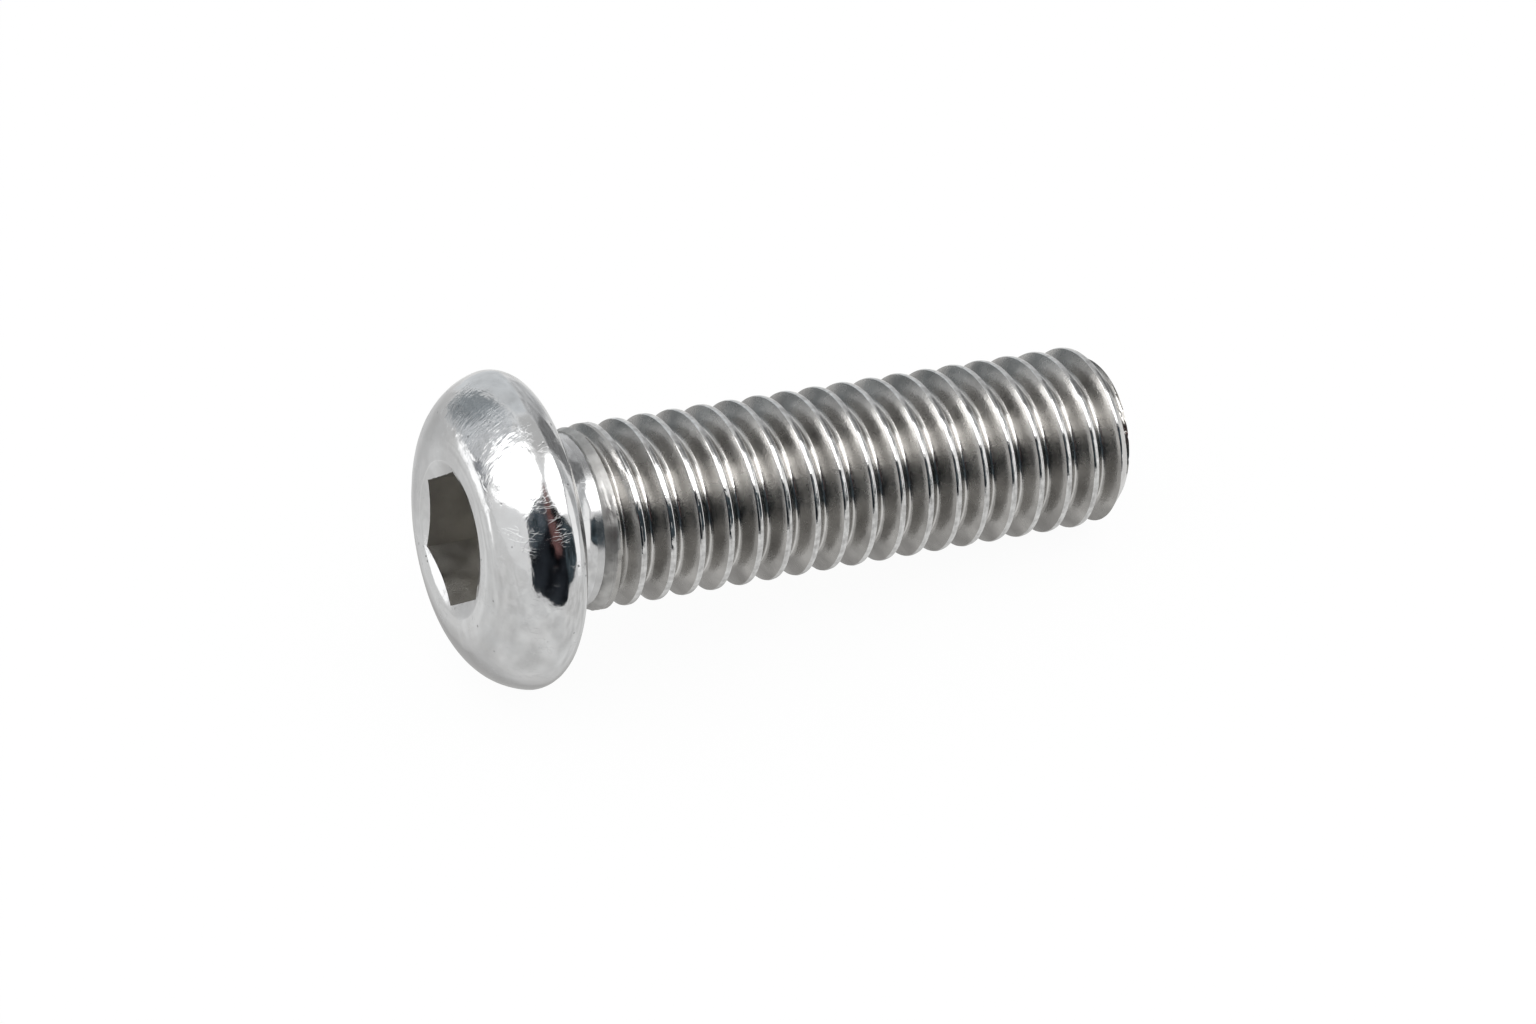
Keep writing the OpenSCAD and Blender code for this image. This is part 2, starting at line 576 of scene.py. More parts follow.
FINISHES = {
    Region.SOCKET: SteelFinish(
        "punched_steel", tint=(0.43, 0.418, 0.394), stain=(0.36, 0.348, 0.326), stain_size=0.8,
        rough=(0.34, 0.46), rough_size=0.5, grain=Relief(0.07, 0.004), peel=Relief(0.5, 0.008),
        streak_depth=0.003, scratch_depth=0.003,
    ),
    Region.HEAD: SteelFinish(
        "polished_steel", tint=(0.615, 0.62, 0.625), stain=(0.555, 0.555, 0.555), stain_size=1.1,
        rough=(0.07, 0.13), rough_size=0.9, grain=Relief(0.05, 0.0009), peel=Relief(0.3, 0.0035),
        scratch_depth=0.0015, wear=Wear(),
    ),
    Region.NECK: SteelFinish(
        "drawn_steel", tint=(0.56, 0.56, 0.56), stain=(0.5, 0.5, 0.5), stain_size=0.9,
        rough=(0.19, 0.27), rough_size=0.5, grain=Relief(0.06, 0.001), peel=Relief(0.3, 0.004),
    ),
    # The slight warm tint of the thread's finishes below is painted reflection, standing in for the
    # warm surroundings that the thread mirrors.
    Region.FLANK: SteelFinish(
        "rolled_satin_steel", tint=(0.43, 0.42, 0.405), stain=(0.285, 0.277, 0.266),
        stain_size=1.3, rough=(0.2, 0.3), rough_size=0.6, grain=Relief(0.06, 0.005),
        peel=Relief(0.28, 0.005), streak_depth=0.0015,
    ),
    Region.RIDGE: SteelFinish(
        "torn_ridge_steel", tint=(0.45, 0.445, 0.435), stain=(0.32, 0.315, 0.307),
        stain_size=0.5, rough=(0.36, 0.48), rough_size=0.4, grain=Relief(0.06, 0.006),
        peel=Relief(0.2, 0.006),
    ),
    Region.VALLEY: SteelFinish(
        "rolled_valley_steel", tint=(0.62, 0.61, 0.595), stain=(0.5, 0.49, 0.475),
        stain_size=1.3, rough=(0.09, 0.16), rough_size=0.5, grain=Relief(0.06, 0.002),
        peel=Relief(0.28, 0.004), streak_depth=0.001,
    ),
    Region.CREST: SteelFinish(
        "burnished_crest_steel", tint=(0.66, 0.66, 0.655), stain=(0.48, 0.475, 0.47),
        stain_size=0.22, rough=(0.05, 0.1), rough_size=0.4, grain=Relief(0.05, 0.0022),
        peel=Relief(0.2, 0.002),
    ),
    Region.TIP: SteelFinish(
        "cut_steel", tint=(0.62, 0.615, 0.605), stain=(0.55, 0.54, 0.53), stain_size=0.8,
        rough=(0.16, 0.26), rough_size=0.4, grain=Relief(0.06, 0.004), peel=Relief(0.3, 0.004),
    ),
}


@dataclass
class HexSocket:
    """The punched hexagon socket, its countersink and the cone at its bottom."""

    across_flats: float = 4.0
    depth: float = 2.0
    cone: float = 0.35
    cone_radius: float = 1.706
    lip: float = 0.19
    countersink_deg: float = 147.0
    burr: float = 0.012
    burr_length: float = 0.22
    burr_limits: tuple[float, float] = (-1.2, 0.6)
    corner_turn: float = 52.5

    def __post_init__(self) -> None:
        """Works out the mouth of the countersink."""
        self.mouth_radius = self.across_flats / math.sqrt(3) + self.lip
        self.slope = math.tan(math.radians(self.countersink_deg / 2))

    def hexagon(self) -> np.ndarray:
        """Radius of the hexagon in each column."""
        from_corner = (np.degrees(turns()) - self.corner_turn) % 60
        return self.across_flats / 2 / np.cos(np.radians(from_corner - 30))

    def build(self, skin: Skin, top: float) -> np.ndarray:
        """Starts the skin at the bottom of the socket.

        Args:
            skin: The skin, still empty.
            top: Height of the flat ring round the socket.

        Returns:
            Point numbers of the ring at the mouth.
        """
        floor = top + self.depth
        wall = self.hexagon()
        edge = (self.mouth_radius - wall) / self.slope
        cone_rings = [
            ring(self.cone_radius * share, floor + self.cone * (1 - share))
            for share in (0.2, 0.4, 0.6, 0.8, 1.0)
        ]
        start = skin.add(cone_rings[0])
        skin.fan(start, floor + self.cone, Region.SOCKET, opens=True)
        start = skin.run(start, cone_rings[1:], Region.SOCKET)
        floor_rings = [
            ring(self.cone_radius + (wall - self.cone_radius) * share, floor)
            for share in (0.5, 1.0)
        ]
        wall_rings = [
            ring(wall, top + edge + (self.depth - edge) * share)
            for share in np.linspace(0.93, 0, 12)
        ]
        ragged = Ripple(41, self.burr_length).at(wall_rings[-1])
        torn = self.burr * np.clip(ragged, *self.burr_limits)
        wall_rings[-1] = ring(wall + torn, top + edge)
        start = skin.run(start, floor_rings + wall_rings, Region.SOCKET)
        countersink = [
            ring(wall + (self.mouth_radius - wall) * share, top + edge * (1 - share))
            for share in (0.08, 0.3, 0.6, 0.93)
        ]
        return skin.run(start, countersink, Region.HEAD)


@dataclass(frozen=True)
class Patch:
    """A patch of the dome that was left unpolished, with a ragged edge.

    It lies at an angle about the axis, in degrees, and at a radius in millimetres. Where it
    ends, it fades between the two values of half_angle and the two of half_width.
    """

    angle: float
    half_angle: tuple[float, float]
    ragged_angle: float
    radius: float
    half_width: tuple[float, float]
    ragged_width: float
    strength: float = 1.0

    def share(self, angle: np.ndarray, radius: np.ndarray, ragged: np.ndarray) -> np.ndarray:
        """How strongly the patch shows.

        Args:
            angle: Angles of the points about the axis, in degrees.
            radius: Their distances from the axis.
            ragged: Unevenness of the patch's edge at each of them.

        Returns:
            One share from 0 to 1 for each point.
        """
        turned = np.abs(angle - self.angle) + self.ragged_angle * ragged
        moved = np.abs(radius - self.radius) + self.ragged_width * ragged
        around = 1 - smooth_step(turned, *self.half_angle)
        return self.strength * around * (1 - smooth_step(moved, *self.half_width))


@dataclass
class ButtonHead:
    """The polished head, from the flat ring round the socket to the neck's fillet.

    Sizes are in millimetres, and heights below 0 lie towards the top of the head.
    """

    width: float = 10.1
    height: float = 2.75
    dome_radius: float = 2.3
    edge_radius: float = 0.8
    fillet_radius: float = 1.05
    wave_height: float = 0.003
    dent_height: float = 0.0022
    inset: float = 0.006
    polished_to: float = -0.05
    patches_to: float = -1.2
    close_rings: tuple[float, float] = (0.02, 0.06)
    flat_from: float = 0.1
    dome_rings: int = 36
    edge_rings: int = 25
    fillet_rings: int = 12
    flat_rings: int = 6
    socket: HexSocket = field(default_factory=HexSocket)
    patches: tuple[Patch, ...] = (
        Patch(
            angle=184, half_angle=(26, 36), ragged_angle=7,
            radius=4.22, half_width=(0.48, 0.72), ragged_width=0.12,
        ),
        Patch(
            angle=243, half_angle=(14, 22), ragged_angle=4,
            radius=4.68, half_width=(0.1, 0.24), ragged_width=0.05, strength=0.3,
        ),
    )

    def __post_init__(self) -> None:
        """Works out where the dome meets the rim's rounding and the flat ring."""
        radius_gap = self.dome_radius - self.edge_radius
        self.edge_turn = math.asin((self.height - self.dome_radius - self.edge_radius) / radius_gap)
        self.edge_centre = self.width / 2 - self.edge_radius
        self.flat_radius = self.edge_centre - radius_gap * math.cos(self.edge_turn)
        self.dome_height = self.dome_radius - self.height

    def profile(self, neck_radius: float) -> list[tuple[float, float]]:
        """Radius and height of each ring, from the flat round the mouth to the fillet's end.

        Args:
            neck_radius: Radius of the neck that the fillet runs into.

        Returns:
            One pair of radius and height for each ring.
        """
        mouth = self.socket.mouth_radius
        inner = neck_radius + self.fillet_radius
        close = [mouth + step for step in self.close_rings]
        flat = np.linspace(mouth + self.flat_from, self.flat_radius, self.flat_rings)[:-1]
        dome = np.linspace(-math.pi / 2, self.edge_turn, self.dome_rings)
        edge = np.linspace(self.edge_turn, math.pi / 2, self.edge_rings)[1:]
        bearing = np.linspace(self.edge_centre, inner, self.flat_rings)[1:]
        fillet = np.linspace(math.pi * 1.5, math.pi, self.fillet_rings)[1:]
        return [
            *((radius, -self.height) for radius in (*close, *flat)),
            *arc((self.flat_radius, self.dome_height), self.dome_radius, dome),
            *arc((self.edge_centre, -self.edge_radius), self.edge_radius, edge),
            *((radius, 0.0) for radius in bearing),
            *arc((inner, self.fillet_radius), self.fillet_radius, fillet),
        ]

    def unevenness(self, points: np.ndarray) -> np.ndarray:
        """How far polishing has left the surface from its true form, in millimetres.

        Args:
            points: Points of one ring.

        Returns:
            One height for each point.
        """
        wide = Ripple(11, 2.4).at(points) * self.wave_height
        narrow = Ripple(12, 0.6).at(points) * self.dent_height
        return np.minimum(wide + narrow - self.inset, 0)

    def build(self, skin: Skin, neck_radius: float) -> np.ndarray:
        """Adds the socket and the head to the skin.

        Args:
            skin: The skin, still empty.
            neck_radius: Radius of the neck that the fillet runs into.

        Returns:
            Point numbers of the ring where the fillet meets the neck.
        """
        start = self.socket.build(skin, -self.height)
        pairs = np.array(self.profile(neck_radius))
        along = np.vstack([pairs[1:], pairs[-1:]]) - np.vstack([pairs[:1], pairs[:-1]])
        normals = unit(along[:, ::-1] * (-1, 1))
        rings = []
        for (radius, height), normal in zip(pairs, normals):
            points = ring(radius, height)
            if height < self.polished_to:
                lift = self.unevenness(points)
                points[:, :2] *= 1 - (lift * normal[0] / radius)[:, None]
                points[:, 2] -= lift * normal[1]
            rings.append(points)
        return skin.run(start, rings, Region.HEAD)

    def patch(self, points: np.ndarray) -> np.ndarray:
        """How strongly the patches of unpolished skin on the dome show.

        Args:
            points: All points of the screw.

        Returns:
            One share from 0 to 1 for each point.
        """
        angle = np.degrees(np.arctan2(points[:, 1], points[:, 0])) % 360
        radius = np.hypot(points[:, 0], points[:, 1])
        ragged = Ripple(21, 0.5).at(points)
        shares = sum(patch.share(angle, radius, ragged) for patch in self.patches)
        return shares * (points[:, 2] < self.patches_to)


@dataclass
class RolledThread:
    """The neck, the thread with its run-out, and the chamfered tip.

    Sizes are in millimetres. Places and reaches are measured along the axis from the middle
    of the crest, and heights from the bearing face of the head.
    """

    # The thread and the bar that it is rolled on
    width: float = 5.9
    pitch: float = 1.0
    depth_share: float = 0.65
    flank_deg: float = 30.0
    turn_deg: float = 297.0
    length: float = 20.0
    neck_length: float = 1.3
    neck_step: float = 0.4
    ridge: float = 0.05
    ridge_length: float = 0.05
    neck_rings: int = 6
    shoulder: float = 0.35
    runout: float = 1.1
    # The tip
    tip_width: float = 4.9
    tip_deg: float = 43.0
    tip_inset: float = 0.001
    end_gap: float = 0.012
    # The profile: a wide rounding on one side of the crest and a narrow edge on the other
    crest_rounding: float = 0.075
    crest_edge: float = 0.024
    crest_fall: float = 0.012
    crest_flat: float = 0.55
    rounding_rows: int = 6
    edge_rows: int = 3
    flank_swell: float = 0.008
    # The seam that rolling leaves along the crest, and the lean of the crest beside it
    seam_place: float = -0.02
    seam_width: float = 0.011
    seam_depth: float = 0.006
    seam_sharpness: float = 0.6
    seam_opens: tuple[float, float] = (-0.9, 0.6)
    seam_least: float = 0.25
    lean_places: tuple[float, float, float] = (-0.03, 0.05, 0.3)
    lean_depth: float = 0.0152
    lean_heights: tuple[float, float] = (2.5, 9.0)
    # Wear, and what the finishes follow
    torn_depth: float = 0.022
    torn_least: float = 0.5
    torn_place: float = 0.1
    torn_width: float = 0.07
    torn_heights: tuple[float, float] = (1.9, 2.6)
    nick_depth: float = 0.03
    nick_reach: tuple[float, float] = (0.06, 0.2)
    nick_rarity: float = 1.25
    wide_drift: float = 0.0022
    narrow_drift: float = 0.0012
    burnished_from: float = 1.95
    valley_rows: int = 3
    inset: float = 0.006

    def __post_init__(self) -> None:
        """Works out the radii and the profile of one pitch."""
        self.crest = self.width / 2
        self.neck = self.crest - self.neck_step / 2
        self.tip = self.tip_width / 2
        sharp = self.pitch * math.sqrt(3) / 2
        self.root = self.crest - sharp * self.depth_share
        self.root_rounding = sharp / 6
        self.first_crest = self.pitch * self.turn_deg / 360
        self.depth = self.crest - self.root
        self.profile, self.crest_rows = self.one_pitch()
        self.rows_per_pitch = len(self.profile)
        self.bottom_row = [radius for _, radius in self.profile].index(self.root)

    def half_pitch(self, rounding: float, steps: int, fall: float) -> list[tuple[float, float]]:
        """Rows of the profile between the middle of the crest and the root.

        Args:
            rounding: Radius of the crest's edge.
            steps: How many rows the rounding has.
            fall: How much lower the crest is at its edge than in the middle.

        Returns:
            The rows as pairs of distance from the middle of the crest and radius.
        """
        flank = math.radians(self.flank_deg)
        middle = 0.5 * self.pitch
        end = (
            middle - self.root_rounding * math.cos(flank),
            self.root + self.root_rounding / 2,
        )
        edge = end[0] - (self.crest - end[1] + rounding) * math.tan(flank)
        rows = [(self.crest_flat * edge, self.crest - self.crest_flat * fall)]
        for turn in np.radians(np.linspace(0, 90 - self.flank_deg, steps)):
            drop = fall + rounding * (1 - math.cos(turn))
            rows.append((edge + rounding * math.sin(turn), self.crest - drop))
        start = rows[-1]
        for share in (0.33, 0.67, 1.0):
            swell = 4 * self.flank_swell * share * (1 - share)
            rows.append((
                start[0] + (end[0] - start[0]) * share + swell * math.cos(flank),
                start[1] + (end[1] - start[1]) * share + swell * math.sin(flank),
            ))
        for turn in np.radians((40, 20)):
            rows.append((
                middle - self.root_rounding * math.sin(turn),
                self.root + self.root_rounding * (1 - math.cos(turn)),
            ))
        return rows

    def one_pitch(self) -> tuple[list[tuple[float, float]], set[int]]:
        """Place along the pitch and radius of each row, from one crest to the next.

        Returns:
            The rows as pairs of place and radius, and the numbers of the crest's rows.
        """
        right = self.half_pitch(self.crest_rounding, self.rounding_rows, 0.0)
        left = self.half_pitch(self.crest_edge, self.edge_rows, self.crest_fall)
        left = [(self.pitch - place, radius) for place, radius in left[:0:-1]]
        seam_middle = self.pitch + self.seam_place
        seam = [(seam_middle + step * self.seam_width, self.crest) for step in (-1, 0, 1)]
        rows = [(0.0, self.crest), *right, (0.5 * self.pitch, self.root), *left, *seam]
        last_rows = range(len(rows) - self.edge_rows - len(seam), len(rows))
        return rows, {*range(self.rounding_rows + 2), *last_rows}

    def bar(self, height: np.ndarray) -> np.ndarray:
        """Radius of the bar before rolling: a small step, then a swelling shoulder.

        Args:
            height: Heights along the bar.

        Returns:
            One radius for each height.
        """
        ridge_end = self.neck_length + self.ridge_length
        step = self.ridge * smooth_step(height, self.neck_length, ridge_end)
        rise = np.clip((height - self.neck_length) / self.shoulder, 0, 1)
        return self.neck + step + (self.crest - self.neck - self.ridge) * rise

    def lift(self, height: np.ndarray) -> np.ndarray:
        """How far the groove is lifted out of the bar where it runs out at the neck."""
        share = (self.neck_length + self.runout - height) / self.runout
        return self.depth * np.clip(share, 0, 1)

    def chamfer(self, height: np.ndarray) -> np.ndarray:
        """Radius of the tip's chamfer."""
        return self.tip + (self.length - height) * math.tan(math.radians(self.tip_deg))

    def grid(self) -> tuple[np.ndarray, np.ndarray, np.ndarray]:
        """Heights and radii of the thread's points, a row for each column of the screw.

        Returns:
            Two arrays of heights and radii, and each point's place along its own pitch.
        """
        low = math.floor((self.neck_length - self.first_crest) / self.pitch) - 2
        high = math.ceil((self.length - self.first_crest) / self.pitch) + 1
        places, radii = np.array(self.profile).T
        pitches = np.arange(low, high)
        along = (pitches[:, None] * self.pitch + places).ravel()
        helix = turns() / TURN * self.pitch
        heights = self.first_crest + along + helix[:, None]
        every_radius = np.broadcast_to(np.tile(radii, len(pitches)), heights.shape)
        return heights, every_radius.copy(), np.tile(places, len(pitches))

    def rough_up(self, heights: np.ndarray, radii: np.ndarray, place: np.ndarray) -> np.ndarray:
        """Adds the torn first ridge, nicked crests and the drift of a rolled surface.

        Args:
            heights: Heights of the thread's points.
            radii: Their radii.
            place: Their places along the pitch, from 0 to the pitch.

        Returns:
            The radii with their unevenness.
        """
        points = spin(radii, heights)
        fine, coarse = Ripple(31, 0.28).at(points), Ripple(32, 0.9).at(points)
        from_crest = np.minimum(place, self.pitch - place)
        ragged = np.exp(-((from_crest - self.torn_place) / self.torn_width) ** 2)
        torn = self.torn_depth * ragged * (1 - smooth_step(heights, *self.torn_heights))
        nick = np.clip(Ripple(33, 0.45).at(points) - self.nick_rarity, 0, None)
        nicked = self.nick_depth * (1 - smooth_step(from_crest, *self.nick_reach)) * nick
        drift = self.wide_drift * coarse + self.narrow_drift * Ripple(34, 0.35).at(points)
        apart = (place - self.pitch - self.seam_place) / self.seam_width
        opening = smooth_step(Ripple(35, 0.6).at(points) + 0.5 * fine, *self.seam_opens)
        sunk = np.exp(-(apart / self.seam_sharpness) ** 2) * (self.seam_least + opening)
        offset = np.where(place > self.pitch / 2, place - self.pitch, place)
        lean = np.interp(offset, self.lean_places, (0, self.lean_depth, 0))
        lean = lean * smooth_step(heights, *self.lean_heights)
        worn = torn * (self.torn_least + fine) + nicked + self.seam_depth * sunk + lean
        return radii + drift - worn - self.inset

    def snap(self, heights: np.ndarray, radii: np.ndarray) -> None:
        """Moves the rows nearest to the chamfer's edge onto it, in place.

        Args:
            heights: Heights of the thread's points.
            radii: Their radii.
        """
        over = radii - self.chamfer(heights)
        for column, row in zip(*np.nonzero(over[:, :-1] * over[:, 1:] < 0)):
            before, after = np.abs(over[column, row:row + 2])
            share = before / (before + after)
            nearest = row if share < 0.5 else row + 1
            low, high = heights[column, row:row + 2]
            heights[column, nearest] = low * (1 - share) + high * share
            radii[column, nearest] = self.chamfer(heights[column, nearest])

    def build(self, skin: Skin, start: np.ndarray, fillet_end: float) -> None:
        """Adds the neck, the thread and the tip, and closes the skin.

        Args:
            skin: The skin, as far as the fillet under the head.
            start: Point numbers of the ring where the fillet meets the neck.
            fillet_end: Height of that ring.
        """
        neck_heights = np.linspace(fillet_end, self.neck_length, self.neck_rings)[1:]
        start = skin.run(start, [ring(self.neck, z) for z in neck_heights], Region.NECK)
        heights, radii, place = self.grid()
        radii = np.minimum(self.bar(heights), radii + self.lift(heights))
        radii = self.rough_up(heights, radii, place)
        self.snap(heights, radii)
        cut, touching = self.chamfer(heights), 1e-6
        chamfered = radii > cut - touching
        radii = np.minimum(radii, cut)
        end_radius = self.end_face(heights, radii)
        flat_end = self.length - self.tip_inset
        end = skin.add(ring(end_radius, flat_end))
        points = spin(radii, heights)
        thread_start = self.neck_length + self.end_gap
        inside = (heights > thread_start) & (heights < self.length - self.end_gap)
        numbers = np.where(heights <= thread_start, start[:, None], end[:, None])
        for column in range(COLUMNS):
            numbers[column, inside[column]] = skin.add(points[column, inside[column]])
        self.weave(skin, numbers, chamfered, heights)
        for share in (0.97, 0.85, 0.55, 0.25):
            inner = skin.add(ring(end_radius * share, flat_end))
            skin.band(end, inner, Region.TIP)
            end = inner
        skin.fan(end, flat_end, Region.TIP, opens=False)

    def end_face(self, heights: np.ndarray, radii: np.ndarray) -> np.ndarray:
        """Radius of the flat end in each column.

        Args:
            heights: Heights of the thread's points.
            radii: Their radii.

        Returns:
            One radius for each column.
        """
        # The chamfer goes on past the end, so rows there count as 1 mm wider.
        wider = radii + (heights > self.length)
        reached = [np.interp(self.length, *row) for row in zip(heights, wider)]
        return np.minimum(self.tip, reached)

    def region(self, row: int, height: float) -> Region:
        """Which finish the strip after a row of the profile has.

        Args:
            row: Number of the row within its pitch.
            height: Height of the row there.

        Returns:
            The strip's part of the skin.
        """
        if height < self.neck_length + self.shoulder:
            return Region.RIDGE
        if height < self.burnished_from:
            return Region.FLANK
        if row in self.crest_rows and (row + 1) % self.rows_per_pitch in self.crest_rows:
            return Region.CREST
        in_valley = self.bottom_row - self.valley_rows <= row <= self.bottom_row
        return Region.VALLEY if in_valley else Region.FLANK

    def weave(
        self, skin: Skin, numbers: np.ndarray, chamfered: np.ndarray, heights: np.ndarray
    ) -> None:
        """Joins the thread's columns. One turn on, a row meets the next row of its kind.

        Args:
            skin: The skin that the faces are added to.
            numbers: Point numbers, by column and row.
            chamfered: Which of the points lie on the chamfer.
            heights: Heights of the points.
        """
        step = self.rows_per_pitch
        side_cut = chamfered[:, :-1] & chamfered[:, 1:]
        for column in range(COLUMNS):
            beside = (column + 1) % COLUMNS
            shift = 0 if beside else step
            here, there = numbers[column], np.roll(numbers[beside], -shift)
            on_cut = side_cut[column] & np.roll(side_cut[beside], -shift)
            for row in range(numbers.shape[1] - 1 - shift):
                corners = (here[row], there[row], there[row + 1], here[row + 1])
                rolled = self.region(row % step, heights[column, row])
                skin.face(corners, Region.TIP if on_cut[row] else rolled)


@dataclass
class Screw:
    """The whole screw: one closed skin in one piece."""

    head: ButtonHead = field(default_factory=ButtonHead)
    thread: RolledThread = field(default_factory=RolledThread)
    lay_drift: float = 0.12

    def lie(self, points: np.ndarray) -> np.ndarray:
        """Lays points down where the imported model's mounts say.

        Args:
            points: Places in millimetres along the screw's own axis.

        Returns:
            The places in the row frame, in metres.
        """
        mounts = {mount["name"]: mount for mount in frame["record"]["mounts"]}
        mouth = np.array(mounts["drive_socket"]["pos_m"])
        axis = unit(np.array(mounts["thread"]["pos_m"]) - mouth)
        side = np.array([0.0, 1.0, 0.0])
        down = np.cross(side, axis)
        origin = mouth + axis * self.head.height * MM
        return origin + MM * points @ np.stack([down, side, axis])

    def lay(self, points: np.ndarray) -> np.ndarray:
        """Coordinates that hardly change along the helix, for the die's fine lines.

        Args:
            points: All points of the screw.

        Returns:
            One triple for each point.
        """
        angle = np.arctan2(points[:, 1], points[:, 0])
        radius = np.hypot(points[:, 0], points[:, 1])
        phase = TURN * (points[:, 2] / self.thread.pitch - angle / TURN)
        drift = self.lay_drift * np.cos(angle)
        return np.stack([np.cos(phase) + radius, np.sin(phase), drift], axis=-1)

    def build(self) -> bpy.types.Object:
        """Makes the screw's mesh, dresses it and ties it to the frame.

        Returns:
            The finished piece.
        """
        skin = Skin()
        start = self.head.build(skin, self.thread.neck)
        self.thread.build(skin, start, self.head.fillet_radius)
        points = np.concatenate(skin.points)
        mesh = bpy.data.meshes.new("screw_skin")
        mesh.from_pydata(self.lie(points).tolist(), [], skin.faces)
        for region in Region:
            mesh.materials.append(FINISHES[region].material())
        mesh.polygons.foreach_set("material_index", skin.regions)
        mark(mesh, "worked_patch", self.head.patch(points))
        mark(mesh, "lay", self.lay(points))
        mesh.shade_smooth()
        mesh.set_sharp_from_angle(angle=math.radians(SHARP_EDGE_DEG))
        mesh.update()
        piece = add_object("socket_screw", mesh)
        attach(piece, "root")
        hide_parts("screw")
        return piece


@dataclass(frozen=True)
class Card:
    """A flat of cloth, paper or light that only the steel mirrors. It is seen nowhere else.

    A far card stands a distance away from the head, in millimetres, and its corners are
    azimuth and elevation in degrees as seen from there. A near card's corners are x, y and z
    in millimetres. The card fades out over a border, which is a share of its size. Mottle is
    how much its brightness swings, and mottle_size is the size of the clouds in millimetres.
    """

    name: str
    colour: Colour
    level: float = 1.0
    away: float = 0.0
    border: float = 0.08
    mottle: float = 0.0
    mottle_size: float = 20.0
    corner_levels: tuple[float, ...] = ()
    corners: tuple[tuple[float, ...], ...] = ()

    def outline(self) -> tuple[np.ndarray, np.ndarray]:
        """Points along the card's edge.

        Returns:
            The points, as directions for a far card, and how bright the card is at each.
        """
        corners = np.array(self.corners, dtype=float)
        levels = np.array(self.corner_levels or [1.0] * len(corners))
        if not self.away:
            return corners, levels
        points_per_side = 6
        shares = np.linspace(0, 1, points_per_side, endpoint=False)[None, :, None]
        known = np.column_stack([directions(*corners.T), levels])[:, None]
        between = known * (1 - shares) + np.roll(known, -1, axis=0) * shares
        between = between.reshape(-1, 4)
        return unit(between[:, :3]), between[:, 3]

    def mesh(self) -> bpy.types.Mesh:
        """Makes the card's mesh: a fan of faces, and bands that follow its bend.

        Returns:
            The mesh, with how dense and how bright the card is at each of its points.
        """
        outline, levels = self.outline()
        count = len(outline)
        shares = (0.25, 0.5, 0.75, 1 - self.border, 1 + self.border)
        middle = outline.mean(axis=0)
        points = np.vstack([middle, *(middle + (outline - middle) * k for k in shares)])
        if self.away:
            points = unit(points) * self.away + np.array(HEAD_CENTRE)
        mean = levels.mean()
        brights = [mean] + [mean + (level - mean) * min(k, 1) for k in shares for level in levels]
        faces = [(0, 1 + i, 1 + (i + 1) % count) for i in range(count)]
        for near in range(1, len(points) - count, count):
            for i in range(near, near + count):
                k = near + (i + 1 - near) % count
                faces.append((i, i + count, k + count, k))
        mesh = bpy.data.meshes.new(self.name)
        mesh.from_pydata((points * MM).tolist(), [], faces)
        mark(mesh, "dense", [1.0] * (len(points) - count) + [0.0] * count)
        mark(mesh, "bright", brights)
        return mesh

    def material(self) -> bpy.types.Material:
        """Makes the card's glow, which lets the view through where the card fades out.

        Returns:
            The material.
        """
        material = bpy.data.materials.new(self.name)
        bench = Bench(material)
        level = bench.product(bench.mask("bright"), self.level)
        if self.mottle:
            cloud = bench.noise(self.mottle_size, detail=3)
            swing = bench.spread(cloud, *CLOUDY, 1 - self.mottle, 1 + self.mottle)
            level = bench.product(level, swing)
        clear = bench.node("ShaderNodeBsdfTransparent").outputs["BSDF"]
        bench.glow(bench.mask("dense"), clear, self.colour, level)
        material.cycles.emission_sampling = "NONE"
        return material

    def build(self) -> bpy.types.Object:
        """Makes the card and hides it from all but mirrored rays.

        Returns:
            The card.
        """
        mesh = self.mesh()
        mesh.materials.append(self.material())
        card = add_object(self.name, mesh)
        card.visible_camera = False
        card.visible_diffuse = False
        card.visible_transmission = False
        card.visible_shadow = False
        return card


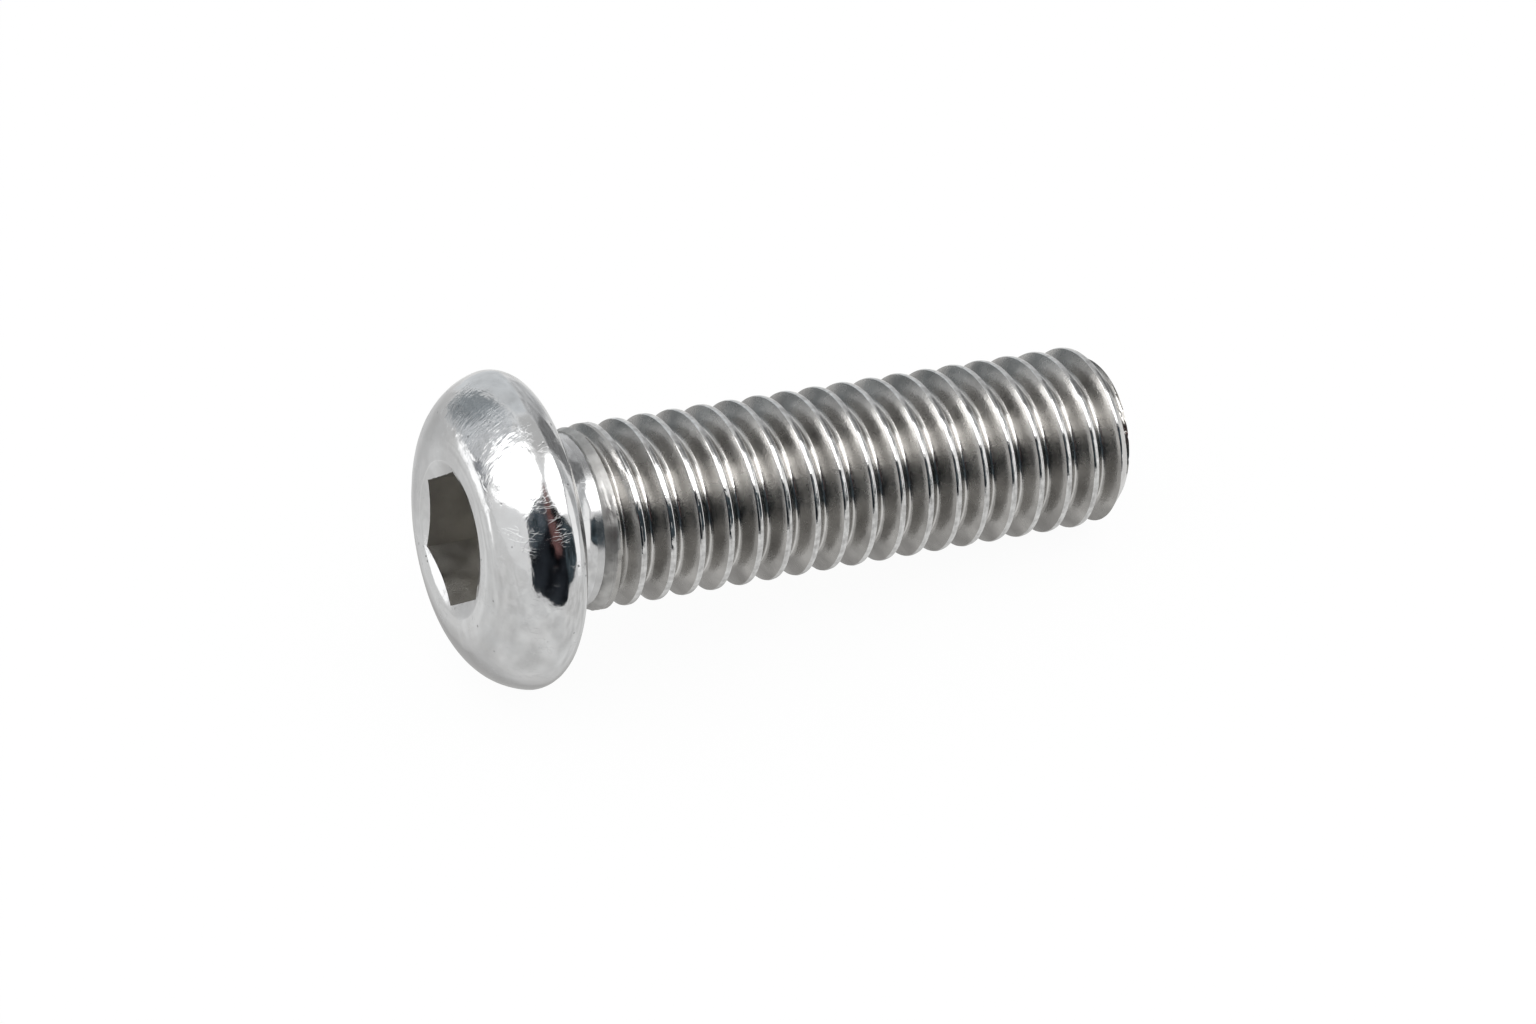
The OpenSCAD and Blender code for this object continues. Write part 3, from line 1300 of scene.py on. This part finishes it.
CARDS = (
    Card(
        "dark_front_card", (0.014, 0.017, 0.021), away=150, border=0.03, mottle=0.8, mottle_size=40,
        corners=(
            (133, -4), (134, 18), (146, 27), (160, 35), (178, 41), (194, 52), (206, 54), (218, 50),
            (234, 42), (243, 30), (238, 8), (232, -12), (206, -20), (192, -24), (180, -20),
            (174, -12),
        ),
    ),
    Card(
        "blue_front_card", (0.056, 0.074, 0.086), away=140, border=0.12, mottle=0.6,
        corners=(
            (134, -4), (134, 18), (150, 29), (170, 38), (182, 30), (179, 8), (172, -9), (158, -10),
        ),
    ),
    Card(
        "blue_left_card", (0.075, 0.092, 0.108), away=141, border=0.15, mottle=1.0, mottle_size=7,
        corners=(
            (199, 53), (214, 50), (232, 41), (241, 28), (236, 12), (224, 14), (210, 30), (203, 40),
        ),
    ),
    Card(
        "warm_front_card", (0.22, 0.105, 0.095), away=130, border=0.15, mottle=0.6, mottle_size=5,
        corners=((211, 60), (202, 61), (196, 42), (207, 40)),
    ),
    Card(
        "warm_middle_card", (0.2, 0.105, 0.1), away=129, border=0.15, mottle=0.6, mottle_size=5,
        corners=((207, 42), (195, 43), (186, 24), (187, 14), (196, 14), (200, 26)),
    ),
    Card(
        "rim_light_card", WHITE, level=1.35, away=200, border=0.1,
        corners=((110, 34), (130, 30), (131, 4), (131, -14), (112, -18), (106, 8)),
    ),
    Card(
        "mouth_light_card", WHITE, level=1.7, away=240, border=0.2,
        corners=((-36, -8), (-44, -5), (-60, -9), (-62, -18), (-40, -17)),
    ),
    Card(
        "left_softbox", WHITE, level=SOFTBOX_LEVEL, away=250, border=0.07,
        corner_levels=(1, 0.95, 0.72, 0.5, 0.85, 1, 1, 1, 1, 1, 1, 1, 1),
        corners=(
            (-118, 32), (-98, 27), (-84, 17), (-71, 5), (-66, 20), (-62, 45), (-60, 66),
            (-78, 77), (-105, 78), (-135, 72), (-148, 66), (-140, 52), (-126, 42),
        ),
    ),
    Card(
        "right_softbox", WHITE, level=SOFTBOX_LEVEL, away=250, border=0.07,
        corners=(
            (102, 58), (112, 44), (136, 31), (157, 39), (180, 43), (192, 55), (194, 66),
            (180, 76), (145, 80), (118, 74),
        ),
    ),
    Card(
        "mottled_card", (0.8, 0.82, 0.84), away=290, border=0.12, mottle=0.4, mottle_size=16,
        corner_levels=(0.9, 0.95, 1.0, 1.0, 1.0, 0.95, 0.9),
        corners=((-58, 62), (-34, 66), (-12, 58), (-9, 20), (-12, -4), (-40, -10), (-58, 0)),
    ),
    Card(
        "blue_side_card", (0.34, 0.37, 0.39), away=270, border=0.14, mottle=0.7, mottle_size=10,
        corner_levels=(0.85, 0.85, 0.95, 1.2, 1.4, 1.2, 1.0, 0.9, 0.9),
        corners=(
            (-9, -5), (-7, 12), (-9, 32), (-13, 46), (-28, 44), (-36, 30), (-36, 12), (-32, -3),
            (-20, -7),
        ),
    ),
    Card(
        "left_shade_card", (0.3, 0.31, 0.33), away=260, border=0.4, mottle=0.8, mottle_size=22,
        corners=((-59, 2), (-53, 6), (-48, -1), (-50, -8), (-58, -8)),
    ),
    Card(
        "back_grey_card", (0.5, 0.505, 0.51), away=300, border=0.15, mottle=0.25, mottle_size=40,
        corner_levels=(1.3, 1.0, 1.0, 1.1, 1.4, 1.5),
        corners=((20, 58), (56, 62), (58, 20), (50, -4), (34, -6), (22, 10)),
    ),
    Card(
        "back_dark_card", (0.26, 0.262, 0.265), away=285, border=0.1, mottle=0.3, mottle_size=30,
        corners=(
            (54, 62), (92, 60), (90, 40), (82, 10), (70, -8), (58, -22), (54, -18), (62, 5),
            (56, 30),
        ),
    ),
    Card(
        "side_grey_card", (0.6, 0.61, 0.615), away=300, border=0.12, mottle=0.2, mottle_size=40,
        corners=((90, 58), (112, 56), (132, 28), (134, 0), (112, -6), (84, -6), (92, 24)),
    ),
    Card(
        "ceiling_card", (0.69, 0.69, 0.685), away=320, border=0.06,
        corners=(
            (-150, 84), (-60, 79), (-38, 70), (-10, 62), (20, 61), (52, 64), (90, 63),
            (112, 76), (150, 83), (-170, 84),
        ),
    ),
    Card(
        "pale_back_card", (0.8, 0.825, 0.845), away=305, border=0.1, mottle=0.1, mottle_size=40,
        corners=((-8, 60), (20, 59), (22, 12), (22, -16), (2, -16), (-5, 10)),
    ),
    Card(
        "low_back_card", (0.66, 0.66, 0.66), away=90, border=0.2, mottle=0.1, mottle_size=40,
        corners=((-31, -9), (-6, -5), (8, -14), (16, -28), (-6, -33), (-28, -29)),
    ),
    Card(
        "table_card", (0.86, 0.86, 0.855), border=0.01, mottle=0.14, mottle_size=28,
        corners=((-900, -900, -60), (900, -900, -60), (900, 900, -60), (-900, 900, -60)),
    ),
    Card(
        "table_shade", (0.5, 0.495, 0.49), border=0.4,
        corners=(
            (44, 48, -55), (30, 80, -55), (0, 92, -55), (-34, 80, -55),
            (-46, 48, -55), (-30, 20, -55), (0, 10, -55), (30, 20, -55),
        ),
    ),
)


@dataclass
class Studio:
    """White sweep, soft lamps and the cards round the screw."""

    floor_half: float = 1.5
    floor_grey: float = 0.9
    floor_lift: float = 0.95
    lamp_away: float = 0.25
    lamp_side: float = 0.2
    lamp_power: float = 0.08

    def sky(self) -> None:
        """White all round, as bright as white paper."""
        world = bpy.data.worlds.new("studio_sky")
        world.use_nodes = True
        world.node_tree.nodes["Background"].inputs["Color"].default_value = (*WHITE, 1)
        bpy.context.scene.world = world

    def floor(self) -> bpy.types.Object:
        """Makes the white floor, which keeps a light shadow.

        Returns:
            The floor.
        """
        half = self.floor_half
        mesh = bpy.data.meshes.new("floor")
        corners = [(-half, -half, 0), (half, -half, 0), (half, half, 0), (-half, half, 0)]
        mesh.from_pydata(corners, [], [(0, 1, 2, 3)])
        material = bpy.data.materials.new("white_sweep")
        bench = Bench(material)
        path = bench.node("ShaderNodeLightPath").outputs
        lit = bench.maths("MAXIMUM", path["Is Camera Ray"], path["Is Glossy Ray"])
        lit = bench.maths("MAXIMUM", lit, path["Is Transmission Ray"])
        grey = (*[self.floor_grey] * 3, 1)
        paper = bench.node("ShaderNodeBsdfDiffuse", {"Color": grey}).outputs["BSDF"]
        bench.glow(bench.product(lit, self.floor_lift), paper, WHITE, 1.0)
        mesh.materials.append(material)
        floor = add_object("floor", mesh)
        floor.visible_glossy = False
        return floor

    def lamp(self, name: str, turn_deg: float, rise_deg: float) -> bpy.types.Object:
        """Hangs a soft lamp that lights the matt floor.

        Args:
            name: Name of the lamp.
            turn_deg: Azimuth in degrees, from +Y towards +X.
            rise_deg: Elevation in degrees.

        Returns:
            The lamp.
        """
        data = bpy.data.lights.new(name, "AREA")
        data.size = self.lamp_side
        data.energy = self.lamp_power
        lamp = add_object(name, data)
        way = Vector(directions(turn_deg, rise_deg))
        lamp.location = way * self.lamp_away
        lamp.rotation_euler = way.to_track_quat("Z", "Y").to_euler()
        lamp.visible_camera = False
        lamp.visible_glossy = False
        return lamp

    def build(self) -> None:
        """Sets up sky, floor, lamps and cards, and Blender's plain view transform."""
        bpy.context.scene.view_settings.view_transform = "Standard"
        self.sky()
        self.floor()
        self.lamp("left_lamp", -100, 50)
        self.lamp("right_lamp", 155, 60)
        for card in CARDS:
            card.build()


@dataclass(frozen=True)
class PhotoCamera:
    """The photograph's camera. Lengths are in millimetres."""

    place: tuple[float, float, float] = (-55.687, -119.210, 94.409)
    heading_deg: float = 24.876
    dip_deg: float = 34.797
    lens: float = 117.19
    sensor: float = 36.0
    nearest: float = 10.0
    farthest: float = 10000.0

    def build(self) -> bpy.types.Object:
        """Makes the camera and hands it to the scene.

        Returns:
            The camera.
        """
        data = bpy.data.cameras.new("photo_camera")
        data.lens = self.lens
        data.sensor_width = self.sensor
        data.clip_start = self.nearest * MM
        data.clip_end = self.farthest * MM
        camera = add_object("photo_camera", data)
        backward = -Vector(directions(self.heading_deg, -self.dip_deg))
        turn = backward.to_track_quat("Z", "Y").to_matrix().to_4x4()
        camera.matrix_world = Matrix.Translation(Vector(self.place) * MM) @ turn
        bpy.context.scene.camera = camera
        return camera


def main() -> None:
    """Builds the camera, the screw and the studio, and reports each piece."""
    logging.basicConfig(level=logging.INFO, format="%(name)s: %(message)s")
    PhotoCamera().build()
    piece = Screw().build()
    piece.data.calc_loop_triangles()
    LOG.info("%s has %d triangles", piece.name, len(piece.data.loop_triangles))
    Studio().build()
    LOG.info("studio has %d cards", len(CARDS))


if __name__ == "__main__":
    main()
